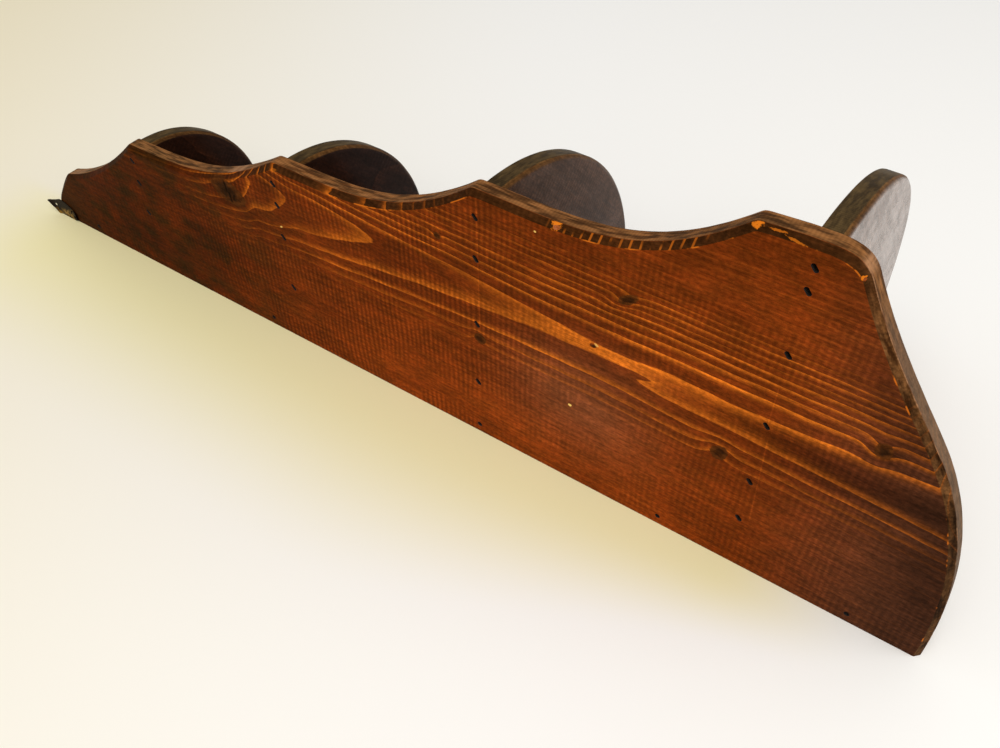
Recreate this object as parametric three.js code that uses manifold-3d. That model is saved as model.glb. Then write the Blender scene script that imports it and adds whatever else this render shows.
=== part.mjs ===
// A hanging corner shelf of stained pine, lying on its side as it would on a bench.
// Two scalloped side boards meet at a right angle along one long seam, four quarter-round shelves of
// growing size stand between them, and a small pierced brass plate at the narrow end hangs it up.
//
// Millimetres. X runs along the seam from the narrow top end (0) to the wide bottom end.
// The left side board stands upright in the XZ plane with its outer face at Y = 0.
// The right side board lies flat with its outer face at Z = 0, its long edge nailed behind the left one.
// Hung on a wall corner, -X points up and both outer faces lie against the walls.

import * as THREE from 'three';
import { mergeVertices } from 'three/addons/utils/BufferGeometryUtils.js';
import Module from 'manifold-3d';

const wasm = await Module();
wasm.setup();
const { Manifold, Mesh: SolidMesh } = wasm;

// Driving dimensions
const LENGTH = 914;              // 36 in from top end to bottom end
const BOARD = 16;                // thickness of every board and shelf
const GAP = 0.3;                 // play between pieces that touch
const CHAMFER = 4.3;             // routed 45 degree edge on the outer face of a side board
const SHELF_CHAMFER = 2.6;       // eased lower edge of each shelf's curved front

// Side board outline, as distance along the seam and width out from it
const TOP_END_STRAIGHT = 22;     // square part of the top end before it slopes
const TOP_END_BEND = [22, 54];
const TOP_SHOULDER = [30, 60.5];
const PEAKS = [[152.5, 140.5], [338.5, 192], [533, 246.5], [728, 303]];
// Each scallop hollows the edge up to the next peak. It leaves the last corner and reaches the
// peak at these slopes in degrees, with handles of these parts of its chord.
const SCALLOPS = [
  { leaves: 17, reaches: 44, leavePart: 0.32, reachPart: 0.3 },
  { leaves: 1, reaches: 34, leavePart: 0.36, reachPart: 0.48 },
  { leaves: 1, reaches: 39, leavePart: 0.36, reachPart: 0.48 },
  { leaves: 1, reaches: 44, leavePart: 0.36, reachPart: 0.48 },
];
const FULL_WIDTH = 305;          // across the wide level stretch beside the bottom shelf
const WIDE_START = 757;
const WIDE_END = 772;
const WIDE_CORNER = [791.5, FULL_WIDTH];
// The bottom end is an ogee: hollow at its wide end, then full down to the seam.
const OGEE_TOP = [798, 291];
const OGEE_MIDDLE = [863, 193.5];
const OGEE_TOP_ANGLE = 26.5;     // degrees from the end's square direction
const OGEE_MIDDLE_ANGLE = 36.8;
const OGEE_HOLLOW_HANDLE = 39;
const OGEE_FULL_HANDLE = 55;
const OGEE_SEAM_HANDLE = 90;

// Shelves, from the top end down
const SHELVES = [
  { name: 'top_shelf', centre: 156, radius: 119.5, nails: [68, 102, 126] },
  { name: 'second_shelf', centre: 340, radius: 165.5, nails: [64, 120, 153, 174] },
  { name: 'third_shelf', centre: 538.5, radius: 222, nails: [61, 125, 189, 226] },
  { name: 'bottom_shelf', centre: 766.5, radius: 283, nails: [54, 97, 156, 221, 272, 289] },
];

// Nails
const SEAM_NAILS = [59, 304, 539, 707, 859];  // places along the seam
const SEAM_NAIL_HEIGHT = 9;
const NAIL_LENGTH = 38;
const NAIL_SET = 2;              // how far a head is driven below the wood
const SHANK = 1.6;               // shank diameter
const HEAD_THICK = 1.4;
const SHANK_START = NAIL_SET + HEAD_THICK / 2;
const T_HEAD = { long: 5.6, wide: 2, slant: -52 };   // oblong heads, driven at a slant in degrees
const ROUND_HEAD = 2.6;          // finish nail head diameter
const NAIL_PLAY = 0.3;           // around each nail in its hole
const OPEN = 1;                  // how far a cutting shape stands out of the face it opens

// Hanger plate, as distance along the seam and width out from it
const HANGER_THICK = 0.8;
const HANGER_TIP = [-18, 13];
const HANGER_EAR_FOOT = [-3.5, 0.6];
const HANGER_WING_END = 24;
// The rim's curves from the wing's end back to the tip, each as its bend and its end
const HANGER_RIM = [
  [[HANGER_WING_END, 8], [20, 14]],
  [[14, 20], [2, 20.5]],
  [[-8, 15], HANGER_TIP],
];
const HANGER_HOLE = { at: [-6.6, 10.4], radius: 1.7 };
const HANGER_PINS = [[20.5, 4.5], [18, 11]];
const PIN = { length: 12, shank: 1.1, head: 2.8, headThick: 0.7 };
const PIN_FACE = -(2 * GAP + HANGER_THICK);   // under side of a pin's head

// Fineness of the round stretches
const CURVE_STEPS = 12;
const SHELF_STEPS = 36;
const RIM_STEPS = 6;
const HEAD_END_STEPS = 2;        // round ends of an oblong head
const SHANK_SIDES = 6;
const HEAD_SIDES = 12;
const MERGE_DISTANCE = 1e-4;
const SHARPEST_MITRE = 0.5;      // least cosine that an inset corner is drawn out by

const woods = {
  sideBoard: { color: 0x6a2c10, roughness: 0.35, metalness: 0 },
  shelf: { color: 0x4a2a1a, roughness: 0.38, metalness: 0 },
};
const metals = {
  nail: { color: 0x2a2622, roughness: 0.6, metalness: 0.8 },
  brass: { color: 0xa8843c, roughness: 0.4, metalness: 1 },
};

const group = new THREE.Group();

// ---- helpers ---------------------------------------------------------------------------------

function radians(degrees) {
  return degrees * Math.PI / 180;
}

function toSolid(geometry) {
  geometry.deleteAttribute('normal');
  geometry.deleteAttribute('uv');
  const merged = mergeVertices(geometry, MERGE_DISTANCE);
  return new Manifold(new SolidMesh({
    numProp: 3,
    vertProperties: new Float32Array(merged.attributes.position.array),
    triVerts: new Uint32Array(merged.index.array),
  }));
}

function toGeometry(solid) {
  const mesh = solid.getMesh();
  const geometry = new THREE.BufferGeometry();
  geometry.setAttribute('position', new THREE.BufferAttribute(mesh.vertProperties, 3));
  geometry.setIndex(new THREE.BufferAttribute(mesh.triVerts, 1));
  geometry.computeVertexNormals();
  return geometry;
}

function addPiece(name, geometry, look) {
  const mesh = new THREE.Mesh(geometry, new THREE.MeshStandardMaterial(look));
  mesh.name = name;
  group.add(mesh);
  return mesh;
}

function boxSolid(low, high) {
  const size = high.map((value, axis) => value - low[axis]);
  const box = new THREE.BoxGeometry(...size);
  box.translate(...low.map((value, axis) => value + size[axis] / 2));
  return toSolid(box);
}

// A round rod that runs along +Y from `start`.
function rodAlongY(diameter, length, sides, start) {
  const rod = new THREE.CylinderGeometry(diameter / 2, diameter / 2, length, sides);
  rod.translate(0, start + length / 2, 0);
  return toSolid(rod);
}

// A bar with a round-ended section in XZ, turned by its slant, that runs along +Y from `start`.
function slotAlongY(long, wide, slant, length, start) {
  const half = (long - wide) / 2;
  const shape = new THREE.Shape();
  shape.absarc(half, 0, wide / 2, -Math.PI / 2, Math.PI / 2, false);
  shape.absarc(-half, 0, wide / 2, Math.PI / 2, 3 * Math.PI / 2, false);
  const bar = new THREE.ExtrudeGeometry(shape, {
    depth: length, bevelEnabled: false, curveSegments: HEAD_END_STEPS,
  });
  bar.rotateZ(radians(slant));
  bar.rotateX(Math.PI / 2);
  bar.translate(0, start + length, 0);
  return toSolid(bar);
}

// ---- nails -----------------------------------------------------------------------------------

function slantHead(play, length, start) {
  return slotAlongY(T_HEAD.long + 2 * play, T_HEAD.wide + 2 * play, T_HEAD.slant, length, start);
}

function roundHead(play, length, start) {
  return rodAlongY(ROUND_HEAD + 2 * play, length, HEAD_SIDES, start);
}

// A nail driven along +Y from the wood's surface, with its head set below it.
function nail(head) {
  return head(0, HEAD_THICK, NAIL_SET).add(rodAlongY(SHANK, NAIL_LENGTH, SHANK_SIDES, SHANK_START));
}

// The hole a nail leaves, open above its head, with play all round.
function nailHole(head) {
  const mouth = head(NAIL_PLAY, OPEN + NAIL_SET + HEAD_THICK + NAIL_PLAY, -OPEN);
  return mouth.add(rodAlongY(SHANK + 2 * NAIL_PLAY, NAIL_LENGTH + NAIL_PLAY, SHANK_SIDES,
    SHANK_START));
}

// Swaps Y and Z, which carries a left-board shape to the right board. The swap mirrors the shape.
const SWAP_Y_AND_Z = [1, 0, 0, 0, 0, 0, 1, 0, 0, 1, 0, 0, 0, 0, 0, 1];

function toRightBoard(solid) {
  return solid.transform(SWAP_Y_AND_Z);
}

// ---- side boards -----------------------------------------------------------------------------

// The point reached from `from` by going `distance` at an angle in degrees.
function offset(from, angle, distance) {
  return [
    from[0] + distance * Math.cos(radians(angle)),
    from[1] + distance * Math.sin(radians(angle)),
  ];
}

function curveTo(path, firstHandle, lastHandle, to) {
  path.bezierCurveTo(...firstHandle, ...lastHandle, ...to);
}

// The outline as distance along the seam and width out from it. It reaches below the seam line by
// `skirt`, which the boards are trimmed back from, so that the chamfer leaves the seam edge square.
function sideOutline(skirt) {
  const path = new THREE.Path();
  path.moveTo(0, -skirt);
  path.lineTo(0, TOP_END_STRAIGHT);
  path.quadraticCurveTo(...TOP_END_BEND, ...TOP_SHOULDER);
  const corners = [TOP_SHOULDER, ...PEAKS];
  SCALLOPS.forEach((scallop, i) => {
    const [from, to] = [corners[i], corners[i + 1]];
    const chord = Math.hypot(to[0] - from[0], to[1] - from[1]);
    const leave = offset(from, scallop.leaves, scallop.leavePart * chord);
    const reach = offset(to, scallop.reaches + 180, scallop.reachPart * chord);
    curveTo(path, leave, reach, to);
  });
  path.lineTo(WIDE_START, FULL_WIDTH);
  path.lineTo(WIDE_END, FULL_WIDTH);
  path.quadraticCurveTo(...WIDE_CORNER, ...OGEE_TOP);
  const down = OGEE_TOP_ANGLE - 90;
  const middleDown = OGEE_MIDDLE_ANGLE - 90;
  const hollowEnd = offset(OGEE_MIDDLE, middleDown + 180, OGEE_HOLLOW_HANDLE);
  curveTo(path, offset(OGEE_TOP, down, OGEE_HOLLOW_HANDLE), hollowEnd, OGEE_MIDDLE);
  const fullStart = offset(OGEE_MIDDLE, middleDown, OGEE_FULL_HANDLE);
  curveTo(path, fullStart, [LENGTH, OGEE_SEAM_HANDLE], [LENGTH, 0]);
  path.lineTo(LENGTH, -skirt);
  return path.getPoints(CURVE_STEPS);
}

// Moves each outline point inward, square to the outline, by `inset`.
function insetOutline(points, inset) {
  return points.map((point, i) => {
    const before = points[Math.max(i - 1, 0)];
    const after = points[Math.min(i + 1, points.length - 1)];
    const back = new THREE.Vector2().subVectors(point, before).normalize();
    const ahead = new THREE.Vector2().subVectors(after, point).normalize();
    const first = i === 0 ? ahead : back;
    const second = i === points.length - 1 ? back : ahead;
    const normal = new THREE.Vector2(first.y + second.y, -(first.x + second.x)).normalize();
    const mitre = normal.dot(new THREE.Vector2(first.y, -first.x));
    const reach = inset / Math.max(mitre, SHARPEST_MITRE);
    return new THREE.Vector2(point.x + normal.x * reach, point.y + normal.y * reach);
  });
}

// Joins equal-length closed outlines, each at its own depth along +Y, into one closed solid.
// The outlines run anticlockwise, seen with X to the right and Z up.
function loft(rings, depths) {
  const count = rings[0].length;
  const positions = [];
  rings.forEach((ring, level) => {
    ring.forEach((point) => positions.push(point.x, depths[level], point.y));
  });
  const index = [];
  const cap = THREE.ShapeUtils.triangulateShape(rings[0], []);
  const last = (rings.length - 1) * count;
  cap.forEach(([a, b, c]) => {
    index.push(a, b, c);
    index.push(last + a, last + c, last + b);
  });
  for (let level = 0; level < rings.length - 1; level += 1) {
    for (let i = 0; i < count; i += 1) {
      const a = level * count + i;
      const b = level * count + (i + 1) % count;
      index.push(a, a + count, b);
      index.push(b, a + count, b + count);
    }
  }
  const geometry = new THREE.BufferGeometry();
  geometry.setAttribute('position', new THREE.Float32BufferAttribute(positions, 3));
  geometry.setIndex(index);
  return toSolid(geometry);
}

// A board with its outer face at Y = 0, its chamfer there, and its width along +Z from `trim`.
function sideBoardBlank(trim) {
  const outline = sideOutline(2 * CHAMFER);
  const face = insetOutline(outline, CHAMFER);
  const rings = [face, outline, outline].map((ring) => [...ring].reverse());
  const whole = loft(rings, [0, CHAMFER, BOARD]);
  const keep = boxSolid([-OPEN, -OPEN, trim], [LENGTH + OPEN, BOARD + OPEN, FULL_WIDTH + OPEN]);
  return whole.intersect(keep);
}

const shelfNailPlaces = SHELVES.flatMap((shelf) => (
  shelf.nails.map((out, i) => ({
    shelf, out, along: shelf.centre, label: `${shelf.name}_nail_${i + 1}`,
  }))
));

const shelfNailHoles = shelfNailPlaces.map((place) => (
  nailHole(slantHead).translate([place.along, 0, place.out])
));
const seamNailHoles = SEAM_NAILS.map((along) => (
  nailHole(roundHead).translate([along, 0, SEAM_NAIL_HEIGHT])
));

// ---- hanger plate and its pins ---------------------------------------------------------------

// A pin's shank, which starts inside its head and runs along +Y.
function hangerPin(play) {
  const buried = PIN.headThick / 2;
  return rodAlongY(PIN.shank + 2 * play, PIN.length + buried + play, SHANK_SIDES, -buried);
}

const pinHoles = HANGER_PINS.map(([along, out]) => (
  hangerPin(NAIL_PLAY).translate([along, PIN_FACE, out])
));

// An ear that stands out past the top end, and a wing that lies on the left board's outer face.
function hangerPlate() {
  const shape = new THREE.Shape();
  shape.moveTo(...HANGER_TIP);
  shape.lineTo(...HANGER_EAR_FOOT);
  shape.lineTo(HANGER_WING_END, HANGER_EAR_FOOT[1]);
  HANGER_RIM.forEach(([bend, end]) => shape.quadraticCurveTo(...bend, ...end));
  const hole = new THREE.Path();
  hole.absarc(HANGER_HOLE.at[0], HANGER_HOLE.at[1], HANGER_HOLE.radius, 0, 2 * Math.PI, true);
  shape.holes.push(hole);
  const plate = new THREE.ExtrudeGeometry(shape, {
    depth: HANGER_THICK, bevelEnabled: false, curveSegments: RIM_STEPS,
  });
  plate.rotateX(Math.PI / 2);
  plate.translate(0, -GAP, 0);
  return pinHoles.reduce((solid, pinHole) => solid.subtract(pinHole), toSolid(plate));
}

// ---- shelves ---------------------------------------------------------------------------------

// A quarter disc with its square corner in the seam's corner and its eased edge facing down,
// which is +X here.
function shelfBlank({ centre, radius }) {
  const start = BOARD + GAP;
  const topFace = centre - BOARD / 2;
  const quarter = (reach) => {
    const arc = new THREE.EllipseCurve(BOARD, BOARD, reach, reach, 0, Math.PI / 2);
    return [
      new THREE.Vector2(start, start),
      ...arc.getPoints(SHELF_STEPS).map((point) => point.max(new THREE.Vector2(start, start))),
    ];
  };
  const solid = loft(
    [quarter(radius), quarter(radius), quarter(radius - SHELF_CHAMFER)],
    [topFace, topFace + BOARD - SHELF_CHAMFER, topFace + BOARD],
  );
  // The loft's depth runs along Y and its outline lies in XZ. This turns them to X and YZ.
  return solid.transform([0, 1, 0, 0, 1, 0, 0, 0, 0, 0, 1, 0, 0, 0, 0, 1]);
}

// ---- the assembly ----------------------------------------------------------------------------

const leftCuts = [...shelfNailHoles, ...seamNailHoles, ...pinHoles];
const leftBoard = leftCuts.reduce((solid, cut) => solid.subtract(cut), sideBoardBlank(0));
addPiece('left_side_board', toGeometry(leftBoard), woods.sideBoard);

const rightCuts = [...shelfNailHoles.map(toRightBoard), ...seamNailHoles];
const rightBlank = toRightBoard(sideBoardBlank(BOARD + GAP));
const rightBoard = rightCuts.reduce((solid, cut) => solid.subtract(cut), rightBlank);
addPiece('right_side_board', toGeometry(rightBoard), woods.sideBoard);

SHELVES.forEach((shelf) => {
  const ownHoles = shelfNailPlaces
    .map((place, i) => (place.shelf === shelf ? shelfNailHoles[i] : null))
    .filter(Boolean);
  const cuts = [...ownHoles, ...ownHoles.map(toRightBoard)];
  const solid = cuts.reduce((left, cut) => left.subtract(cut), shelfBlank(shelf));
  addPiece(shelf.name, toGeometry(solid), woods.shelf);
});

// Nails of one kind share a geometry and are placed along the seam and out from it.
const leftNail = toGeometry(nail(slantHead));
const rightNail = toGeometry(toRightBoard(nail(slantHead)));
shelfNailPlaces.forEach(({ label, along, out }) => {
  addPiece(`left_${label}`, leftNail, metals.nail).position.set(along, 0, out);
  addPiece(`right_${label}`, rightNail, metals.nail).position.set(along, out, 0);
});

const seamNail = toGeometry(nail(roundHead));
SEAM_NAILS.forEach((along, i) => {
  addPiece(`seam_nail_${i + 1}`, seamNail, metals.nail).position.set(along, 0, SEAM_NAIL_HEIGHT);
});

addPiece('hanger_plate', toGeometry(hangerPlate()), metals.brass);
const pinHead = rodAlongY(PIN.head, PIN.headThick, HEAD_SIDES, -PIN.headThick);
const pin = toGeometry(hangerPin(0).add(pinHead));
HANGER_PINS.forEach(([along, out], i) => {
  addPiece(`hanger_pin_${i + 1}`, pin, metals.nail).position.set(along, PIN_FACE, out);
});

// The origin is on the bench, under the middle of the whole piece.
const nearestPoint = PIN_FACE - PIN.headThick;
group.position.set(-(HANGER_TIP[0] + LENGTH) / 2, -(nearestPoint + FULL_WIDTH) / 2, 0);

export default group;
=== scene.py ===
import math

import bmesh
import bpy
import numpy as np
from mathutils import Euler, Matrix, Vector, noise


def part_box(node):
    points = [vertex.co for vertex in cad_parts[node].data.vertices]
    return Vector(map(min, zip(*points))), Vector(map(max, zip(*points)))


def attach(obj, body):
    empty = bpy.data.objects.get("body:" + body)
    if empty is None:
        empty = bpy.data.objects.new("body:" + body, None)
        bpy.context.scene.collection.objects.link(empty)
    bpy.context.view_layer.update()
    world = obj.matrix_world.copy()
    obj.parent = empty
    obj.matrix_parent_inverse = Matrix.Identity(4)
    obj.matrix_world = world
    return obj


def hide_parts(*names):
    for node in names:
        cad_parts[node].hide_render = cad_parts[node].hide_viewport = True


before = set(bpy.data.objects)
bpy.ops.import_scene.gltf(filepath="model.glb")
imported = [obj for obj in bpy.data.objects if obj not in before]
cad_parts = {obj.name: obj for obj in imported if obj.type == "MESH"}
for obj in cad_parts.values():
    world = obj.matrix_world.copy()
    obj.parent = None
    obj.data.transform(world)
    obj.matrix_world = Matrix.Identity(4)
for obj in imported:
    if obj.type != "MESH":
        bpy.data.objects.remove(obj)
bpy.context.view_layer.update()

# A hanging corner shelf of stained, varnished pine, lying on its right side board.
#
# Shapes are worked out in millimetres on a board: along the seam from the narrow top end, deep
# into the wood from the outer face, and out from the seam. place_left and place_right carry such
# points to the frame, in metres.

MM = 0.001
left_low, left_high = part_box("left_side_board")
LENGTH = (left_high.x - left_low.x) / MM
BOARD = (left_high.y - left_low.y) / MM
FULL_WIDTH = (left_high.z - left_low.z) / MM
GAP = 0.3

# Side board outline, as distance along the seam and out from it
TOP_END_STRAIGHT = 22
TOP_END_BEND = (22, 54)
TOP_SHOULDER = (30, 60.5)
PEAKS = [(152.5, 140.5), (338.5, 192), (533, 246.5), (728, 303)]
# Slopes in degrees where each scallop leaves the last corner and reaches the next peak, and the
# parts of its chord that the two handles take
SCALLOPS = [(17, 44, 0.32, 0.3), (1, 34, 0.36, 0.48), (1, 39, 0.36, 0.48), (1, 44, 0.36, 0.48)]
WIDE_START = 757
WIDE_END = 772
WIDE_CORNER = (791.5, FULL_WIDTH)
OGEE_TOP = (798, 291)
OGEE_MIDDLE = (863, 193.5)
OGEE_TOP_SLOPE = 26.5 - 90
OGEE_MIDDLE_SLOPE = 36.8 - 90
OGEE_HOLLOW_HANDLE = 39
OGEE_FULL_HANDLE = 55
OGEE_SEAM_HANDLE = 90

CHAMFER = 4.3
CHAMFER_ROUND = 0.9      # how far the worn arrises of the chamfer reach
INNER_ROUND = 0.8
SEAM_ROUND = 0.5
SEAM_POINTS = 100
STEP = 1.8               # spacing of the outline points

# Shelves, from the top end down: name, middle along the seam, radius, nails out from the seam
SHELVES = [
    ("top_shelf", 156, 119.5, (68, 102, 126)),
    ("second_shelf", 340, 165.5, (64, 120, 153, 174)),
    ("third_shelf", 538.5, 222, (61, 125, 189, 226)),
    ("bottom_shelf", 766.5, 283, (54, 97, 156, 221, 272, 289)),
]
SHELF_CHAMFER = 2.6
SHELF_ROUND = 1.5

SEAM_NAILS = (59, 304, 539, 707, 859)
SEAM_NAIL_HEIGHT = 9
NAIL_SET = 2
NAIL_LENGTH = 38
SHANK = 0.8              # radii
HEAD_THICK = 1.4
SLANT_HEAD = (2.8, 1.0)
ROUND_HEAD = (1.3, 1.3)
HEAD_SLANT = -52
NAIL_PLAY = 0.3          # clearance of a nail in its hole

# Chips and nicks in the left board: along, deep, out, then half length, half width, depth, turn
CHIPS = [
    (602, 1.4, 247, 4.6, 3.6, 1.8, -60),
    (793, 1.2, 293, 2.0, 1.0, 0.9, 50),
]

# Hanger plate, as distance along the seam and out from it
HANGER_OUTLINE = [
    [(-18, 13), (-3.5, 0.6)],
    [(-3.5, 0.6), (24, 0.6)],
    [(24, 0.6), (24, 8), (20, 14)],
    [(20, 14), (14, 20), (2, 20.5)],
    [(2, 20.5), (-8, 15), (-18, 13)],
]
HANGER_HOLE = (-6.6, 10.4)
HANGER_HOLE_RADIUS = 1.7
HANGER_THICK = 0.8
HANGER_LIP = 1.3         # how high the ear's lower edge is turned up
HANGER_LIP_WIDTH = 2.4
HANGER_PINS = ((20.5, 4.5), (18, 11))
PIN_LENGTH = 12
PIN_SHANK = 0.55
PIN_HEAD = 1.4
PIN_HEAD_THICK = 0.7

# Camera: lens and sensor in mm, shift as a part of the picture's width, turns in degrees
CAMERA_LENS = 34.92
CAMERA_SENSOR = 36
CAMERA_SHIFT = -0.0056
CAMERA_PLACE = (0.4021, -0.5829, 0.6339)
CAMERA_TILT = 43.658
CAMERA_TURN = 33.967
LIGHTS_AIM = (0, 0, 0.1)


# ---- placing and building ----

def place_left(points):
    """Frame positions of (along, deep, out) points of the left board."""
    return np.array(left_low) + np.asarray(points, float) * MM


def place_right(points):
    """Frame positions of (along, deep, out) points of the right board, the left one's mirror."""
    return np.array(left_low) + np.asarray(points, float)[:, [0, 2, 1]] * MM


def loft(name, rings, place):
    """A closed mesh object through equal rings of points, filled at both ends."""
    bm = bmesh.new()
    levels = [[bm.verts.new(point) for point in place(ring)] for ring in rings]
    for low, high in zip(levels, levels[1:]):
        for i in range(len(low)):
            j = (i + 1) % len(low)
            bm.faces.new((low[i], low[j], high[j], high[i]))
    bm.faces.new(levels[0])
    bm.faces.new(levels[-1])
    bmesh.ops.recalc_face_normals(bm, faces=bm.faces)
    return to_object(name, bm)


def to_object(name, bm):
    mesh = bpy.data.meshes.new(name)
    bm.to_mesh(mesh)
    bm.free()
    piece = bpy.data.objects.new(name, mesh)
    bpy.context.scene.collection.objects.link(piece)
    return piece


def finish_piece(piece, material, slot, *nodes):
    """Gives a piece its material, its shading and its body, and hides the CAD nodes that it stands
    for. The slot is not used.
    """
    if material:
        piece.data.materials.clear()
        piece.data.materials.append(material)
    for polygon in piece.data.polygons:
        polygon.use_smooth = True
    piece.data.set_sharp_from_angle(angle=math.radians(28))
    weighted = piece.modifiers.new("even_faces", "WEIGHTED_NORMAL")
    weighted.keep_sharp = True
    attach(piece, "root")
    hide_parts(*nodes)


def cut(piece, cutters, cut_material):
    """Cuts the cutters out of a piece and removes them. Cut faces get the cut's own material."""
    bm = bmesh.new()
    for cutter in cutters:
        bm.from_mesh(cutter.data)
        bpy.data.objects.remove(cutter)
    tool = to_object("tool", bm)
    tool.data.materials.append(cut_material)
    boolean = piece.modifiers.new("cut", "BOOLEAN")
    boolean.operation = "DIFFERENCE"
    boolean.solver = "EXACT"
    boolean.material_mode = "TRANSFER"
    boolean.use_self = True
    boolean.object = tool
    shaped = piece.evaluated_get(bpy.context.evaluated_depsgraph_get())
    mesh = bpy.data.meshes.new_from_object(shaped)
    piece.modifiers.clear()
    piece.data = mesh
    bpy.data.objects.remove(tool)


def wander(*where, seed=0):
    """Smooth noise about 0, for hand-made irregularity."""
    x, y, z = (*where, 0, 0)[:3]
    return noise.noise(Vector((x + 17.3 * seed, y - 5.1 * seed, z + 2.7 * seed)))


# ---- outlines ----

def bezier(points, step=STEP):
    """Evenly spaced points along a Bezier curve of any degree."""
    controls = [np.array(point, float) for point in points]
    t = np.linspace(0, 1, 200)[:, None]
    while len(controls) > 1:
        controls = [(1 - t) * a + t * b for a, b in zip(controls, controls[1:])]
    return even(controls[0], step)


def even(points, step, count=None):
    """The same line with its points spread evenly."""
    points = np.asarray(points, float)
    lengths = np.linalg.norm(np.diff(points, axis=0), axis=1)
    reached = np.concatenate([[0], np.cumsum(lengths)])
    count = count or max(2, round(reached[-1] / step) + 1)
    at = np.linspace(0, reached[-1], count)
    return np.stack([np.interp(at, reached, column) for column in points.T], axis=1)


def offset(start, slope, distance):
    angle = math.radians(slope)
    return (start[0] + distance * math.cos(angle), start[1] + distance * math.sin(angle))


def outline_sections(trim):
    """The cut edge of a side board, from `trim` out, as smooth sections that meet at corners."""
    sections = [even([(0, trim), (0, TOP_END_STRAIGHT)], STEP)]
    sections.append(bezier([(0, TOP_END_STRAIGHT), TOP_END_BEND, TOP_SHOULDER]))
    corners = [TOP_SHOULDER, *PEAKS]
    for (leaves, reaches, leave_part, reach_part), a, b in zip(SCALLOPS, corners, PEAKS):
        chord = math.dist(a, b)
        leave = offset(a, leaves, leave_part * chord)
        reach = offset(b, reaches + 180, reach_part * chord)
        sections.append(bezier([a, leave, reach, b]))
    sections.append(even([PEAKS[-1], (WIDE_START, FULL_WIDTH), (WIDE_END, FULL_WIDTH)], STEP))
    sections.append(bezier([(WIDE_END, FULL_WIDTH), WIDE_CORNER, OGEE_TOP]))
    hollow_start = offset(OGEE_TOP, OGEE_TOP_SLOPE, OGEE_HOLLOW_HANDLE)
    hollow_end = offset(OGEE_MIDDLE, OGEE_MIDDLE_SLOPE + 180, OGEE_HOLLOW_HANDLE)
    sections.append(bezier([OGEE_TOP, hollow_start, hollow_end, OGEE_MIDDLE]))
    full_start = offset(OGEE_MIDDLE, OGEE_MIDDLE_SLOPE, OGEE_FULL_HANDLE)
    full = bezier([OGEE_MIDDLE, full_start, (LENGTH, OGEE_SEAM_HANDLE), (LENGTH, 0)])
    kept = full[full[:, 1] > trim + STEP / 2]
    sections.append(np.vstack([kept, (np.interp(trim, full[::-1, 1], full[::-1, 0]), trim)]))
    return sections


def crossing(a, b, c, d):
    """Where the segments ab and cd cross, or None."""
    first, second, between = b - a, d - c, c - a
    turn = first[0] * second[1] - first[1] * second[0]
    if abs(turn) < 1e-9:
        return None
    s = (between[0] * second[1] - between[1] * second[0]) / turn
    t = (between[0] * first[1] - between[1] * first[0]) / turn
    if 0 <= s <= 1 and 0 <= t <= 1:
        return a + s * first
    return None


def meet(first, second):
    """Trims two inset sections to the point where they cross, or to halfway between their ends."""
    for i in range(len(first) - 1, max(len(first) - 8, 0), -1):
        for j in range(1, min(8, len(second))):
            point = crossing(first[i - 1], first[i], second[j - 1], second[j])
            if point is not None:
                return np.vstack([first[:i], point]), np.vstack([point, second[j:]])
    middle = (first[-1] + second[0]) / 2
    return np.vstack([first[:-1], middle]), np.vstack([middle, second[1:]])


def inset_edge(sections, inset, seed):
    """The cut edge moved inward by `inset`, with a hand-cut edge's slight waver."""
    moved = []
    for number, section in enumerate(sections):
        tangent = np.gradient(section, axis=0)
        tangent /= np.linalg.norm(tangent, axis=1)[:, None]
        inward = np.stack([tangent[:, 1], -tangent[:, 0]], axis=1)
        waver = [
            inset * (1 + 0.1 * wander(x * 0.05, z * 0.05, seed=seed))
            + 0.12 * (1 + wander(x * 0.11, z * 0.11, seed=seed + 1))
            for x, z in section
        ]
        moved.append(section + inward * np.array(waver)[:, None])
    for i in range(len(moved) - 1):
        moved[i], moved[i + 1] = meet(moved[i], moved[i + 1])
    spread = [even(part, STEP, len(own)) for part, own in zip(moved, sections)]
    edge = np.vstack([spread[0], *[part[1:] for part in spread[1:]]])
    return soften(edge)


def soften(points):
    """Wears the corners of a line down a little and keeps its ends."""
    worn = points.copy()
    for _ in range(2):
        worn[1:-1] = (worn[:-2] + 2 * worn[1:-1] + worn[2:]) / 4
    return worn


def rounded_profile(corners, reaches, steps=3):
    """A (inset, deep) profile whose inner corners are rounded over the given reaches."""
    corners = [np.array(corner, float) for corner in corners]
    profile = [corners[0]]
    for before, corner, after, reach in zip(corners, corners[1:], corners[2:], reaches):
        start = corner + reach * (before - corner) / np.linalg.norm(before - corner)
        end = corner + reach * (after - corner) / np.linalg.norm(after - corner)
        for t in np.linspace(0, 1, steps + 1):
            profile.append((1 - t) ** 2 * start + 2 * t * (1 - t) * corner + t * t * end)
    profile.append(corners[-1])
    return profile


# ---- side boards ----

def side_board_rings(trim, seed):
    """Rings of a side board from its outer face to its inner face, from `trim` out."""
    sections = outline_sections(trim)
    profile = rounded_profile(
        [(CHAMFER + 2, 0), (CHAMFER, 0), (0, CHAMFER), (0, BOARD), (2, BOARD)],
        [CHAMFER_ROUND, CHAMFER_ROUND, INNER_ROUND],
    )
    rings = []
    for inset, deep in profile:
        edge = inset_edge(sections, inset, seed)
        short = max(0.0, SEAM_ROUND - min(deep, BOARD - deep))
        seam = trim + SEAM_ROUND - math.sqrt(SEAM_ROUND ** 2 - short ** 2)
        edge[[0, -1], 1] = seam
        back = even([edge[-1], edge[0]], STEP, SEAM_POINTS)
        ring = np.vstack([edge, back[1:-1]])
        rings.append(np.insert(ring, 1, deep, axis=1))
    return rings


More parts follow.
